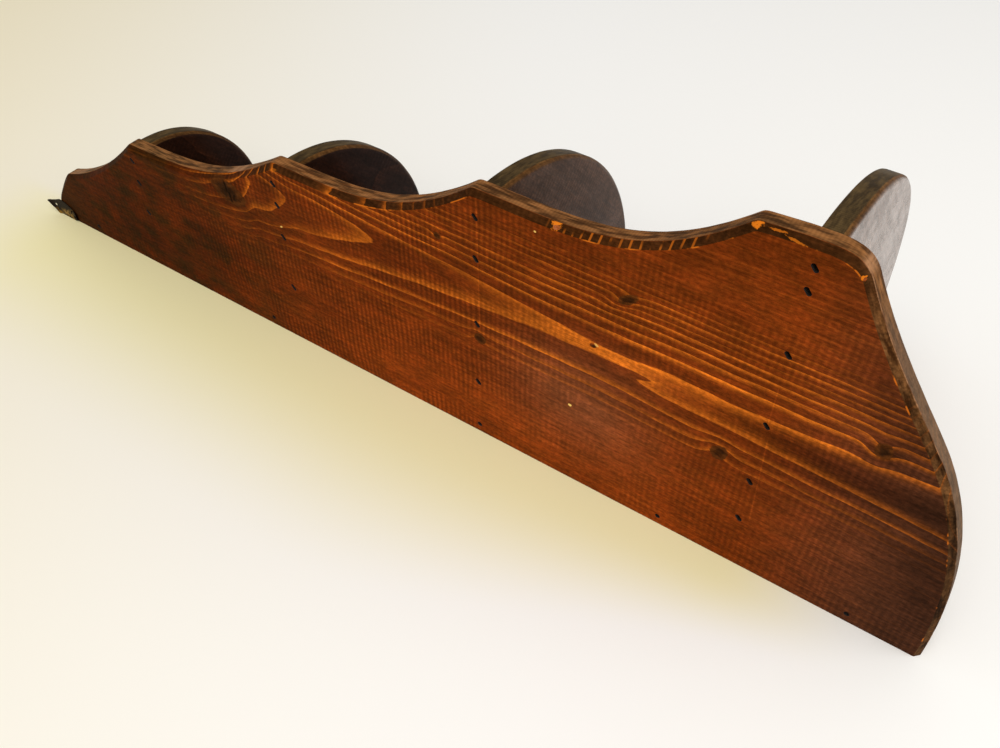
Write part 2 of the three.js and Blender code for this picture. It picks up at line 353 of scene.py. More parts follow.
def slot_ring(size, slant, deep, at, points=24):
    """A round-ended outline at one depth, of half length and radius `size`, turned by its slant."""
    half_length, radius = size
    turn = math.radians(slant)
    ring = []
    for i in range(points):
        angle = 2 * math.pi * i / points
        u = radius * math.cos(angle) + math.copysign(half_length - radius, math.cos(angle))
        v = radius * math.sin(angle)
        ring.append((
            at[0] + u * math.cos(turn) - v * math.sin(turn),
            deep,
            at[1] + u * math.sin(turn) + v * math.cos(turn),
        ))
    return ring


def nail_hole(place, at, head):
    """The hole that a set nail leaves, torn a little wider at its mouth."""
    def ring(play, deep, seed):
        wide = play + 0.12 * wander(at[0], at[1], deep, seed=seed)
        return slot_ring((head[0] + wide, head[1] + wide * 1.5), HEAD_SLANT, deep, at)
    shank = SHANK + NAIL_PLAY
    bottom = NAIL_SET + HEAD_THICK + NAIL_PLAY
    rings = [
        ring(NAIL_PLAY + 0.25, -1, 1),
        ring(NAIL_PLAY + 0.2, 0, 2),
        ring(NAIL_PLAY + 0.05, 0.7, 3),
        ring(NAIL_PLAY, bottom, 3),
        slot_ring((shank, shank), 0, bottom + 0.1, at),
        slot_ring((shank, shank), 0, NAIL_LENGTH + 3, at),
    ]
    return loft("hole", rings, place)


def chip(along, deep, out, long, wide, depth, turn):
    """A ragged lump that breaks a chip out of the left board where it dips into the wood."""
    bm = bmesh.new()
    bmesh.ops.create_icosphere(bm, subdivisions=3, radius=1)
    for vertex in bm.verts:
        ragged = 1 + 0.35 * wander(*(vertex.co * 1.7), seed=along)
        x, y, z = vertex.co.x * long * ragged, vertex.co.y * depth, vertex.co.z * wide * ragged
        angle = math.radians(turn)
        u = x * math.cos(angle) - z * math.sin(angle)
        v = x * math.sin(angle) + z * math.cos(angle)
        vertex.co = place_left([(along + u, deep + y * ragged, out + v)])[0]
    return to_object("chip", bm)


def nail(name, place, at, head, material):
    """A nail with a punched, slightly round-shouldered head, a round shank and a cut point."""
    def ring(shrink, deep):
        return slot_ring((head[0] - shrink, head[1] - shrink), HEAD_SLANT, deep, at)
    def shank_ring(radius, deep):
        return slot_ring((radius, radius), 0, deep, at)
    bottom = NAIL_SET + HEAD_THICK
    end = NAIL_SET + HEAD_THICK / 2 + NAIL_LENGTH
    rings = [
        slot_ring((0.3, 0.3), 0, NAIL_SET + 0.35, at),
        slot_ring((0.55, 0.55), 0, NAIL_SET + 0.3, at),
        slot_ring((0.7, 0.7), 0, NAIL_SET + 0.05, at),
        ring(0.22, NAIL_SET),
        ring(0.06, NAIL_SET + 0.08),
        ring(0, NAIL_SET + 0.25),
        ring(0, bottom - 0.2),
        ring(0.12, bottom),
        shank_ring(SHANK + 0.1, bottom + 0.1),
        shank_ring(SHANK, bottom + 0.6),
        shank_ring(SHANK, end - 2.5),
        shank_ring(0.15, end),
    ]
    piece = loft(name + "_steel", rings, place)
    finish_piece(piece, material, "nail_steel", name)


# ---- shelves ----

def shelf_rings(radius, centre):
    """Rings of a quarter disc, from its upper face to its lower face, whose front is eased."""
    start = BOARD + GAP
    profile = rounded_profile(
        [(2, 0), (0, 0), (0, BOARD - SHELF_CHAMFER), (SHELF_CHAMFER, BOARD),
         (SHELF_CHAMFER + 2, BOARD)],
        [SHELF_ROUND, SHELF_ROUND, SHELF_ROUND],
    )
    rings = []
    for inset, down in profile:
        reach = radius - inset
        sweep = []
        steps = round(radius * math.pi / 2 / STEP)
        for i in range(steps + 1):
            angle = math.pi / 2 * i / steps
            flat = 0.15 * (1 + wander(angle * radius * 0.05, inset * 0.1, seed=radius))
            y = BOARD + (reach - flat) * math.cos(angle)
            z = BOARD + (reach - flat) * math.sin(angle)
            sweep.append((max(y, start), max(z, start)))
        ring = np.vstack([[(start, start)], sweep])
        along = centre - BOARD / 2 + down
        rings.append(np.array([(along, y, z) for y, z in ring]))
    return rings


# ---- hanger ----

def hanger_relief(x, z):
    """How far the bent plate stands out from where a flat one would lie."""
    tip, foot = np.array(HANGER_OUTLINE[0], float)
    side = (foot - tip) / np.linalg.norm(foot - tip)
    from_tip = np.array([x, z]) - tip
    from_lip = abs(from_tip[0] * side[1] - from_tip[1] * side[0])
    lip = HANGER_LIP * max(0.0, 1 - from_lip / HANGER_LIP_WIDTH) ** 1.5
    ear = 0.004 * min(x, 0) ** 2
    curl = 0.12 * max(x - 21, 0) ** 2
    dents = 0.25 * wander(x * 0.22, z * 0.22, seed=4)
    return lip + ear + curl + max(dents, -0.05)


def hanger_plate():
    """The pierced plate, bent from sheet, as a ring of grid lines from its hole to its edge."""
    spokes, steps = 96, 16
    edge = np.vstack([bezier(side, 0.5)[:-1] for side in HANGER_OUTLINE])
    edge = even(np.vstack([edge, edge[:1]]), 0.5, 400)[:-1]
    middle = np.array(HANGER_HOLE)
    angles = np.arctan2(*(edge - middle).T[::-1])
    outer, inner = [], []
    for angle in np.linspace(-math.pi, math.pi, spokes, endpoint=False):
        turn = np.abs((angles - angle + math.pi) % (2 * math.pi) - math.pi)
        outer.append(edge[turn.argmin()])
        inner.append(middle + HANGER_HOLE_RADIUS * np.array([math.cos(angle), math.sin(angle)]))
    outer, inner = np.array(outer), np.array(inner)
    bm = bmesh.new()
    layers = []
    for back in (0.0, HANGER_THICK):
        for step in range(steps + 1):
            worn = 0.12 if step in (0, steps) else 0.0
            level = back - GAP - HANGER_THICK + (-worn if back else worn)
            ring = inner + (outer - inner) * step / steps
            points = place_left([(x, level - hanger_relief(x, z), z) for x, z in ring])
            layers.append([bm.verts.new(point) for point in points])
    front, rear = layers[:steps + 1], layers[steps + 1:]
    loop = [*front, *rear[::-1], front[0]]
    for low, high in zip(loop, loop[1:]):
        for i in range(spokes):
            j = (i + 1) % spokes
            bm.faces.new((low[i], low[j], high[j], high[i]))
    bmesh.ops.recalc_face_normals(bm, faces=bm.faces)
    return to_object("hanger_plate_brass", bm)


def hanger_pin(name, at, material):
    """A small brad with a domed head, driven through the plate."""
    top = -GAP - HANGER_THICK - hanger_relief(*at)
    def ring(radius, deep):
        return slot_ring((radius, radius), 0, deep, at)
    rings = [
        ring(0.25, top - PIN_HEAD_THICK),
        ring(0.8, top - PIN_HEAD_THICK + 0.07),
        ring(1.2, top - PIN_HEAD_THICK + 0.25),
        ring(PIN_HEAD, top - 0.15),
        ring(PIN_HEAD - 0.1, top),
        ring(PIN_SHANK, top + 0.05),
        ring(PIN_SHANK, PIN_LENGTH - 2.5),
        ring(0.1, PIN_LENGTH - 1),
    ]
    finish_piece(loft(name + "_steel", rings, place_left), material, "nail_steel", name)


# ---- shader fields ----

def feed(socket, value):
    """Sets a node's input, or links it when the value is a field or another node's output."""
    if isinstance(value, Field):
        value = value.socket
    if isinstance(value, bpy.types.NodeSocket):
        socket.id_data.links.new(value, socket)
    else:
        socket.default_value = value


class Field:
    """A number that varies over a surface: a shader output that takes part in arithmetic."""

    def __init__(self, socket):
        self.socket = socket
        self.tree = socket.id_data

    def math(self, operation, *others):
        node = self.tree.nodes.new("ShaderNodeMath")
        node.operation = operation
        for socket, value in zip(node.inputs, (self, *others)):
            feed(socket, value)
        return Field(node.outputs[0])

    def __add__(self, other):
        return self.math("ADD", other)

    def __sub__(self, other):
        return self.math("SUBTRACT", other)

    def __mul__(self, other):
        return self.math("MULTIPLY", other)

    def __truediv__(self, other):
        return self.math("DIVIDE", other)

    def __pow__(self, other):
        return self.math("POWER", other)

    def __neg__(self):
        return self * -1.0

    __radd__ = __add__
    __rmul__ = __mul__

    def __rsub__(self, other):
        return -self + other

    def sqrt(self):
        return self.math("SQRT")

    def sin(self):
        return self.math("SINE")

    def abs(self):
        return self.math("ABSOLUTE")

    def floor(self):
        return self.math("FLOOR")

    def max(self, other):
        return self.math("MAXIMUM", other)

    def exp_of_minus(self):
        return (-self).math("EXPONENT")

    def smooth(self, low, high):
        """Rises smoothly from 0 at `low` to 1 at `high`, or falls where high is under low."""
        node = self.tree.nodes.new("ShaderNodeMapRange")
        node.interpolation_type = "SMOOTHSTEP"
        feed(node.inputs["Value"], self)
        node.inputs["From Min"].default_value = low
        node.inputs["From Max"].default_value = high
        return Field(node.outputs[0])

    def curve(self, points):
        """A smooth line through (here, there) points, whose numbers stay between 0 and 1000."""
        node = self.tree.nodes.new("ShaderNodeFloatCurve")
        line = node.mapping.curves[0]
        reduced = [(here / 1000, there / 1000) for here, there in points]
        line.points[0].location = reduced[0]
        line.points[1].location = reduced[-1]
        for point in reduced[1:-1]:
            line.points.new(*point)
        node.mapping.update()
        feed(node.inputs["Value"], self / 1000)
        return Field(node.outputs[0]) * 1000


def vector(x, y, z):
    node = x.tree.nodes.new("ShaderNodeCombineXYZ")
    for socket, value in zip(node.inputs, (x, y, z)):
        feed(socket, value)
    return node.outputs[0]


def clouds(x, y, z, detail=2.0, roughness=0.5):
    """Noise about 0.5 at a point that is already scaled."""
    node = x.tree.nodes.new("ShaderNodeTexNoise")
    feed(node.inputs["Vector"], vector(x, y, z))
    node.inputs["Scale"].default_value = 1.0
    node.inputs["Detail"].default_value = detail
    node.inputs["Roughness"].default_value = roughness
    return Field(node.outputs[0])


def random_step(value):
    """A random number from 0 to 1 for each whole number."""
    node = value.tree.nodes.new("ShaderNodeTexWhiteNoise")
    node.noise_dimensions = "1D"
    feed(node.inputs["W"], value)
    return Field(node.outputs["Value"])


def mix(factor, first, second):
    node = factor.tree.nodes.new("ShaderNodeMix")
    node.data_type = "RGBA"
    feed(node.inputs["Factor"], factor)
    feed(node.inputs["A"], first)
    feed(node.inputs["B"], second)
    colours = [output for output in node.outputs if output.type == "RGBA"]
    return colours[0]


def scaled(colour, tone):
    """A colour made lighter or darker by a field."""
    node = tone.tree.nodes.new("ShaderNodeVectorMath")
    node.operation = "SCALE"
    feed(node.inputs[0], colour[:3] if isinstance(colour, tuple) else colour)
    feed(node.inputs["Scale"], tone)
    return node.outputs[0]


def srgb(red, green, blue):
    """A linear colour from 0 to 255 screen values."""
    def linear(value):
        value /= 255
        return value / 12.92 if value <= 0.04045 else ((value + 0.055) / 1.055) ** 2.4
    return (linear(red), linear(green), linear(blue), 1.0)


def new_material(name):
    material = bpy.data.materials.new(name)
    material.use_nodes = True
    shader = material.node_tree.nodes["Principled BSDF"]
    return material, shader


def plain(name, colour, roughness):
    """Unvarnished wood where the surface is broken, mottled a little."""
    material, shader = new_material(name)
    x, y, z = frame_point(material.node_tree)
    mottle = clouds(x * 0.3, y * 1.1, z * 1.1, 3.0, 0.6)
    feed(shader.inputs["Base Color"], scaled(colour, mottle * 1.2 + 0.4))
    shader.inputs["Roughness"].default_value = roughness
    feed(shader.inputs["Normal"], bump(mottle, 0.0002))
    return material


def bump(height, distance, strength=1.0):
    node = height.tree.nodes.new("ShaderNodeBump")
    node.inputs["Distance"].default_value = distance
    node.inputs["Strength"].default_value = strength
    feed(node.inputs["Height"], height)
    return node.outputs[0]


# ---- wood ----

def frame_point(tree):
    """The surface point in board millimetres: along the seam, across Y and across Z."""
    node = tree.nodes.new("ShaderNodeTexCoord")
    split = tree.nodes.new("ShaderNodeSeparateXYZ")
    feed(split.inputs[0], node.outputs["Object"])
    return [(Field(split.outputs[i]) - left_low[i]) / MM for i in range(3)]


def surface_normal(tree):
    node = tree.nodes.new("ShaderNodeNewGeometry")
    split = tree.nodes.new("ShaderNodeSeparateXYZ")
    feed(split.inputs[0], node.outputs["Normal"])
    return [Field(split.outputs[i]).abs() for i in range(3)]


class Wood:
    """One wood's surface: where it lies on its board, how it faces, and its fine textures."""

    def __init__(self, tree, point, faces):
        self.along, self.deep, self.across = point(tree)
        self.faced, self.end_grain = faces(surface_normal(tree))
        self.chamfer = self.faced.smooth(0.95, 0.85) * self.faced.smooth(0.3, 0.5)
        self.fibre = self.clouds(0.035, 0.8, 0.8, 4.0, 0.65).smooth(0.28, 0.72)
        self.fleck = self.clouds(0.22, 0.4, 0.4, 3.0, 0.7).smooth(0.3, 0.7)
        self.streak = self.clouds(0.012, 0.22, 0.22, 3.0, 0.6).smooth(0.3, 0.7)
        self.stain = self.clouds(0.012, 0.022, 0.022, 4.0, 0.6).smooth(0.3, 0.7)
        self.blotch = self.clouds(0.05, 0.07, 0.07, 4.0, 0.65).smooth(0.35, 0.65)
        self.wear = self.clouds(0.06, 0.06, 0.06, 3.0)

    def clouds(self, along, across, deep, detail=2.0, roughness=0.5):
        """Noise about 0.5, scaled along the board, across it and into it."""
        return clouds(self.along * along, self.across * across, self.deep * deep, detail, roughness)


def swirls(wood, places, ragged=0.0):
    """How near a point is to each (along, across, half length, half width, slant, lift).

    Gives the squared distance, another measured from a little towards the narrow end, and lift.
    """
    for x, z, long, wide, slant, lift in places:
        turn = math.radians(slant)
        along, across = wood.along - x, wood.across - z
        u = along * math.cos(turn) + across * math.sin(turn)
        v = across * math.cos(turn) - along * math.sin(turn)
        u, v = u / long, v / wide
        yield u * u + v * v + ragged, (u + 0.5) * (u + 0.5) + v * v, lift


def ring_distance(wood, log):
    """How far a point is from the line over the pith, and from the pith, before any knots."""
    waver = wood.clouds(0.008, 0.02, 0.02) - 0.5
    small = wood.clouds(0.03, 0.12, 0.12) - 0.5
    side = wood.across - wood.along.curve(log["centre"]) + waver * 5.0
    side = side + (side * side / -400.0).math("EXPONENT") * wood.along.curve(log["shift"])
    side = side * (side.smooth(-14, 14) * (1 - log["low_side"]) + log["low_side"])
    depth = wood.along.curve(log["pith"]) - wood.deep + waver * 0.6
    radius = (side * side + depth * depth).sqrt() + small * (side.abs().smooth(0, 26) * 0.6 + 0.3)
    return side, radius


def part_round_knots(wood, log, radius):
    """Rings pushed out by the knots and bends, with where the knots and their hearts are."""
    ragged = wood.clouds(0.2, 0.25, 0.2, 3.0, 0.6) * 1.4 - 0.7
    knotty, heart = wood.along * 0.0, wood.along * 0.0
    for square, early_square, lift in swirls(wood, log["knots"], ragged):
        radius = radius + (early_square * 0.35).exp_of_minus() * lift
        knotty = knotty.max(square.smooth(1.35, 0.9))
        heart = heart.max(square.smooth(0.7, 0.1))
    for square, _, lift in swirls(wood, log["bends"]):
        radius = radius + square.exp_of_minus() * lift
    return radius, knotty, heart


def latewood_lines(wood, log, side, radius):
    """How much latewood shows. It comes on softly towards the bark and ends sharply."""
    uneven = clouds(radius * 0.16, radius * 0.0, radius * 0.0, 1.0) - 0.5
    turns = (radius - log["ring_at"]) / log["ring"] + uneven * 0.45
    ring = turns.floor()
    phase = turns - ring
    strength = random_step(ring) * 0.5 + 0.55
    patchy = wood.clouds(0.012, 0.05, 0.05).smooth(0.25, 0.65)

    fade_low, fade_high = log["fade"]
    clear = side.smooth(fade_high + 14, fade_high - 14) * side.smooth(-fade_low - 8, -fade_low + 12)
    clear = (clear * 0.9 + 0.1) * (side.smooth(-34, 0) * 0.3 + 0.7)
    clear = clear * (wood.along.smooth(*log["clear_from"]) * 0.85 + 0.15)

    line = phase.smooth(0.35, 0.97) ** 3.5 * phase.smooth(1.0, 0.965)
    line = line * (1.0 - side.abs().smooth(18, 42) * 0.5)
    line = line * (wood.chamfer * wood.along.smooth(760, 680) * 0.5 + 0.6)
    glow = phase.smooth(0.4, 1.0) * phase.smooth(1.0, 0.97)
    glow = glow * wood.along.smooth(*log["glow_from"]) * (0.3 - wood.chamfer * 0.3)
    glow = glow * (1.0 - wood.along.smooth(440, 480) * wood.along.smooth(610, 560) * 0.6)
    crisp = phase.smooth(0.86, 0.975) * phase.smooth(1.0, 0.985) * side.abs().smooth(60, 30)
    return (line + glow) * strength * clear * (patchy * 0.5 + 0.6) + crisp * clear * 0.2


def planer_ripple(wood, log):
    """Ripples that the planer left square to the grain: their place, height and strength."""
    bow = clouds(wood.across * 0.012, wood.along * 0.02, wood.deep * 0.01) - 0.5
    place = wood.along + bow * 9.0
    height = (place * (2 * math.pi / log["ripple"])).sin() * 0.5 + 0.5
    strength = clouds(wood.along * 0.013 + 7.0, wood.across * 0.02, wood.deep * 0.01)
    strength = strength.smooth(0.35, 0.6) * wood.faced
    strength = strength * (wood.along.smooth(*log["ripple_to"]) * 0.5 + 0.5)
    strength = strength * (wood.along.smooth(*log["ripple_from"]) * 0.7 + 0.3) * (wood.fleck + 0.5)
    return place, height, strength * log["ripple_depth"]


def earlywood(wood, log, shades):
    """The stained wood between the latewood lines, murky in places, with painted reflection: a grey
    sheen towards the wide end and soft pale veils.
    """
    colour = mix(wood.blotch * 0.5, shades["early"], shades["reddish"])
    # Painted reflection of the white backdrop: the wood turns greyer towards the wide end.
    colour = mix(wood.along.smooth(*log["backdrop_sheen_from"]) * 0.8, colour, shades["backdrop_sheen"])
    # Painted reflection: soft pale veils on the face.
    for square, _, strong in swirls(wood, log["veil_at"]):
        colour = mix(square.exp_of_minus() * strong, colour, shades["sheen_veil"])
    murky = wood.clouds(0.028, 0.04, 0.04, 4.0, 0.65).smooth(0.38, 0.66)
    murky = (murky * 0.8).max(wood.along.smooth(90, 10) * 0.7)
    return mix(murky * wood.along.smooth(*log["murky_to"]), colour, shades["murky"])


def mottling(wood, ripple, rippled):
    """How much lighter or darker the fibres, the stain and the ripples make the wood."""
    tone = (wood.fibre * 0.4 + 0.8) * (wood.fleck * 0.56 + 0.72) * (wood.streak * 0.34 + 0.83)
    tone = tone * (wood.stain * 0.36 + 0.82) * (wood.blotch * 0.2 + 0.9)
    return tone * (1.0 + rippled * 0.24 - ripple * rippled * 0.52)


def sawn_edge(wood, log, shades, dusty):
    """The cut edge, which took the stain unevenly and is rubbed pale in places, with a painted grey
    sheen towards the wide end.
    """
    colour = mix(dusty, shades["edge"], shades["pale_edge"])
    pale = wood.along * 0.0
    for at, half_length in log["pale_edges"]:
        pale = pale.max((wood.along - at).abs().smooth(half_length + 3, half_length - 2))
    pale = pale * (wood.clouds(0.9, 0.5, 0.06).smooth(0.3, 0.62) * 0.6 + 0.4)
    colour = mix(pale * 0.8, colour, shades["worn"])
    # Painted reflection of the white backdrop: a grey sheen on the edge round the wide end.
    colour = mix(wood.along.smooth(792, 830) * 0.75, colour, shades["end_edge_sheen"])
    sawn = ((wood.along + wood.across * 0.7) * 2.4).sin() * 0.1 + 0.95
    return scaled(colour, (wood.fibre * 0.3 + wood.streak * 0.3 + 0.7) * sawn)


def soaked_chamfer(wood, log, shades, dusty, latewood, tone, colour):
    """Darkens the chamfer, whose open grain drank the stain."""
    soaked = wood.chamfer * (wood.along.smooth(*log["soaked_from"]) * 0.6 + 0.4)
    dusty_end = dusty * wood.along.smooth(785, 815) * 0.7
    soaked_colour = scaled(mix(dusty_end, shades["chamfer"], shades["pale_edge"]), tone)
    return mix(soaked * (1.0 - latewood) * 0.85, colour, soaked_colour)


def rubbed_arrises(wood, log, shades, ripple_place, colour):
    """Adds the rubbed outer arris, the cutter's chatter on the chamfer and its bright inner line."""
    faced = wood.faced
    worn = faced.smooth(0.62, 0.45) * faced.smooth(0.15, 0.3) * wood.wear.smooth(0.42, 0.6)
    worn = worn * wood.along.smooth(*log["worn_from"]) * (0.4 + wood.fleck)
    colour = mix(worn * 0.6, colour, shades["worn"])
    chatter = (ripple_place * (2 * math.pi / CHATTER_PITCH)).sin().smooth(0.6, 0.95)
    chatter = chatter * wood.wear.smooth(0.38, 0.55) * wood.chamfer
    chatter = chatter * wood.along.smooth(*log["chatter_from"])
    chatter = chatter * wood.along.smooth(*log["chatter_to"])
    colour = mix(chatter * 0.5, colour, shades["late"])
    inner = faced.smooth(0.992, 0.96) * faced.smooth(0.78, 0.88) * wood.wear.smooth(0.53, 0.6)
    return mix(inner * wood.along.smooth(330, 380) * 0.7, colour, shades["late"])


def bare_places(wood, log, shades, colour):
    """Adds bare wood where the chamfer is chipped, and the pale nicks in the face."""
    torn = wood.clouds(0.45, 0.45, 0.45, 3.0, 0.7) * 5.0 - 2.5
    bare = wood.along * 0.0
    for square, _, strong in swirls(wood, log["bare"], torn):
        bare = bare.max(square.smooth(1.4, 0.6) * strong)
    for square, _, strong in swirls(wood, log["specks"], torn * 0.4):
        colour = mix(square.smooth(1.3, 0.6) * strong, colour, shades["speck"])
    arris = wood.faced.smooth(0.995, 0.97) * wood.faced.smooth(0.8, 0.9)
    return mix(bare * wood.chamfer.max(arris), colour, shades["bare"])


def knot_wood(wood, shades, radius, heart, checked):
    """The colour inside a knot, with its own rings and, on the left board, dark checks."""
    tone = (radius * 2.6).sin() * 0.2 + 0.85
    if checked:
        for x, slant, lowest, highest in KNOT_CHECKS:
            off = (wood.along - x + (wood.across - lowest) * slant).abs()
            length = wood.across.smooth(lowest - 2, lowest)
            length = length * wood.across.smooth(highest + 2, highest)
            tone = tone * (1.0 - off.smooth(1.4, 0.5) * length * 0.95)
    colour = mix(heart, shades["knot"], shades["knot_heart"])
    return scaled(colour, tone * (wood.fleck * 0.5 + 0.75))


def set_finish(shader, wood, gloss, ripple_depth):
    """Sets how shiny the wood is. Only the shelves have a coat of varnish left."""
    rough = wood.fibre * 0.08 + wood.stain * 0.08 + wood.end_grain * 0.15 + gloss["roughness"]
    feed(shader.inputs["Roughness"], rough)
    shader.inputs["Specular IOR Level"].default_value = gloss["level"]
    shader.inputs["Specular Tint"].default_value = gloss["tint"]
    if gloss["coat"]:
        varnish = wood.fleck * 0.22 + wood.streak * 0.15 + wood.blotch * 0.2 + wood.stain * 0.3
        varnish = (varnish + 0.42) * wood.faced.smooth(0.6, 0.95)
        varnish = varnish * (wood.deep.smooth(420, 760) * 0.6 + 0.4 - ripple_depth * 0.2)
        feed(shader.inputs["Coat Weight"], varnish)
        shader.inputs["Coat IOR"].default_value = 1.17
        shader.inputs["Coat Roughness"].default_value = 0.14


def pine(name, point, faces, log, shades, gloss, regions=None):
    """Stained flat-sawn pine. The rings are cones round a pith that lies behind the face."""
    material, shader = new_material(name)
    wood = Wood(material.node_tree, point, faces)
    side, radius = ring_distance(wood, log)
    radius, knotty, heart = part_round_knots(wood, log, radius)
    latewood = latewood_lines(wood, log, side, radius)
    ripple_place, ripple, rippled = planer_ripple(wood, log)
    tone = mottling(wood, ripple, rippled)
    if regions:
        tone = tone * regions(wood)

    colour = mix(latewood, earlywood(wood, log, shades), shades["late"])
    if gloss["coat"]:
        # The lower shelves are paler: painted sheen, where their faces catch bright light at a grazing
        # angle.
        colour = mix(wood.deep.smooth(360, 760) * wood.faced * 0.5, colour, SHELF_SHEEN_TINT)
    colour = scaled(colour, tone)
    dusty = wood.clouds(0.05, 0.05, 0.3, 3.0, 0.6).smooth(0.35, 0.65)
    edge = sawn_edge(wood, log, shades, dusty)
    colour = mix(wood.faced.smooth(0.45, 0.15) * 0.85, colour, edge)
    colour = soaked_chamfer(wood, log, shades, dusty, latewood, tone, colour)
    colour = rubbed_arrises(wood, log, shades, ripple_place, colour)
    colour = bare_places(wood, log, shades, colour)
    colour = mix(knotty * 0.9, colour, knot_wood(wood, shades, radius, heart, bool(regions)))
    feed(shader.inputs["Base Color"], colour)

    set_finish(shader, wood, gloss, ripple * rippled)
    height = wood.fibre * 0.15 + wood.fleck * 0.08 + latewood * 0.35 + ripple * rippled * 0.5
    feed(shader.inputs["Normal"], bump(height, 0.00022, 0.8))
    return material


def metal(name, clean, dark_tarnish_and_shade, roughness, painted_ear_shade=False):
    """Metal that has tarnished in patches. On the hanger, painted shade blackens the ear above its
    turned-up lip, the plate's upper part and its curled right end.
    """
    material, shader = new_material(name)
    x, y, z = frame_point(material.node_tree)
    patches = clouds(x * 0.25, y * 0.25, z * 0.25, 4.0, 0.65)
    grit = clouds(x * 2.5, y * 2.5, z * 2.5, 2.0)
    tarnish_and_shade = patches.smooth(0.4, 0.6)
    if painted_ear_shade:
        # Painted shade: black on the ear above its lip, on the upper part and on the curled right end.
        above_lip = x * 0.65 + z
        tarnish_and_shade = tarnish_and_shade.max(above_lip.smooth(-1.0, 5.0) * x.smooth(8.0, -2.0))
        tarnish_and_shade = tarnish_and_shade.max((z - x * 0.25).smooth(4.0, 10.0))
        tarnish_and_shade = tarnish_and_shade.max(x.smooth(17.0, 21.0))
    feed(shader.inputs["Base Color"], mix(tarnish_and_shade, clean, dark_tarnish_and_shade))
    feed(shader.inputs["Metallic"], 1.0 - tarnish_and_shade * 0.8)
    shader.inputs["Specular IOR Level"].default_value = 0.15
    feed(shader.inputs["Roughness"], tarnish_and_shade * 0.3 + grit * 0.2 + (roughness - 0.1))
    feed(shader.inputs["Normal"], bump(patches * 0.6 + grit * 0.4, 0.0001, 0.8))
    return material


def right_point(tree):
    """Like frame_point, for the right board, which is the left one's mirror."""
    x, y, z = frame_point(tree)
    return x, z, y


def shelf_point(tree):
    """Shelf grain runs level across the corner, from one side board to the other."""
    x, y, z = frame_point(tree)
    along = (y - z) * math.sqrt(0.5) + 400.0
    across = (y + z) * math.sqrt(0.5)
    return along, x, across


EVERYWHERE = (-200, -100)
NOWHERE = (2000, 2100)
# How the saw went through the tree, in millimetres. "centre" is the line where the rings lie
# flattest, "shift" how far they are pushed across near it, and "pith" how far behind the outer face
# the tree's middle was, all along the board. "low_side" spreads the figure below that line, "ring"
# is a ring's thickness, one ring starts at "ring_at", and "fade" is how far from the line the figure
# stays clear. A pair that ends in _from or _to says where along the board something comes in or
# goes out. A knot or bend is (along, across, half length, half width, slant in degrees, how far it
# pushes the rings out). Bare places, places of painted sheen and specks end with their strength
# instead. "pale_edges" are (along, half length).
LEFT_LOG = {
    "centre": [(0, 157), (560, 156), (914, 153)],
    "shift": [(0, 0), (640, 0), (690, 5), (760, 5), (914, 4)],
    "pith": [(0, 14), (200, 20), (282, 26), (300, 29.4), (311, 33.1), (318, 33.5), (330, 34.6),
             (342, 36.4), (352, 37.6), (358, 38.2), (370, 38.6), (400, 40.0), (420, 41.1), (430, 41.6),
             (440, 42.0), (450, 42.35), (470, 43.1), (500, 44), (540, 45), (620, 46.1),
             (664, 46.1), (690, 45.2), (760, 44.8), (820, 44), (914, 42.3)],
    "low_side": 0.78,
    "ring": 4.5,
    "ring_at": 46.6,
    "fade": (40, 66),
    "clear_from": (190, 300),
    "glow_from": (340, 410),
    "soaked_from": (240, 350),
    "ripple_from": (180, 300),
    "ripple": 4.7,
    "ripple_depth": 1.0,
    "ripple_to": (610, 480),
    "knots": [
        (282, 143, 19, 11, -14, 1.5),
        (659, 211, 8, 3.6, 38, 3.4),
        (541, 111, 5, 5, 0, 2.6),
        (741, 111, 6, 7, -20, 3.4),
        (837, 179, 5, 7, 0, 3.4),
        (505, 195, 3, 3, 0, 2),
        (638, 157, 1.6, 1.2, 0, 0.6),
    ],
    "specks": [(623, 86, 1.5, 1.3, 0, 1.0), (587, 235, 1, 0.8, 0, 0.8), (340, 131, 1.6, 0.9, 30, 0.7),
               (341, 119, 1.2, 0.7, 20, 0.6), (640, 159, 2, 1, -30, 0.6)],
    # A soft pale veil: painted reflection on the face.
    "veil_at": [(630, 98, 56, 48, 0, 0.45)],
    "bends": [(673, 148, 20, 2.6, 4, 1.5)],
    "pale_edges": [(46, 12), (143, 5), (291, 9), (792, 3)],
    "worn_from": (760, 800),
    "chatter_from": (590, 610),
    "chatter_to": (715, 690),
    # Painted reflection of the white backdrop greys the wood from here to the wide end.
    "backdrop_sheen_from": (760, 900),
    "murky_to": (420, 200),
    "bare": [
        (602, 247.5, 3.4, 5, -20, 0.95),
        (729, 301, 3.2, 1.6, 20, 0.9),
        (741, 302.2, 5.5, 0.5, 4, 0.5),
        (753, 301, 6.5, 0.6, -4, 0.5),
        (342, 187, 4, 1.5, 30, 0.3),
        (792, 294, 1.2, 1.2, 0, 0.8),
    ],
}
RIGHT_LOG = {
    **LEFT_LOG,
    "centre": [(0, 70), (380, 96), (620, 120), (914, 132)],
    "pith": [(0, 34), (160, 40), (240, 41.2), (420, 39), (560, 37.6), (720, 33), (914, 27)],
    "knots": [(420, 150, 9, 7, 10, 7), (655, 70, 6, 4, -25, 5), (150, 60, 4, 4, 0, 4)],
    "bends": [(800, 180, 60, 14, 8, 3)],
    "specks": [(360, 90, 1.2, 1, 0, 0.7), (700, 210, 1.4, 0.9, 40, 0.7)],
    # A soft pale veil: painted reflection on the face.
    "veil_at": [(430, 60, 80, 40, 0, 0.3)],
    "clear_from": (-200, 100),
    "glow_from": EVERYWHERE,
    "soaked_from": EVERYWHERE,
    "ripple_from": EVERYWHERE,
    "bare": [(240, 150, 6, 4, 10, 0.8), (640, 252, 8, 5, -10, 0.8)],
    "pale_edges": [(214, 7), (486, 5)],
}
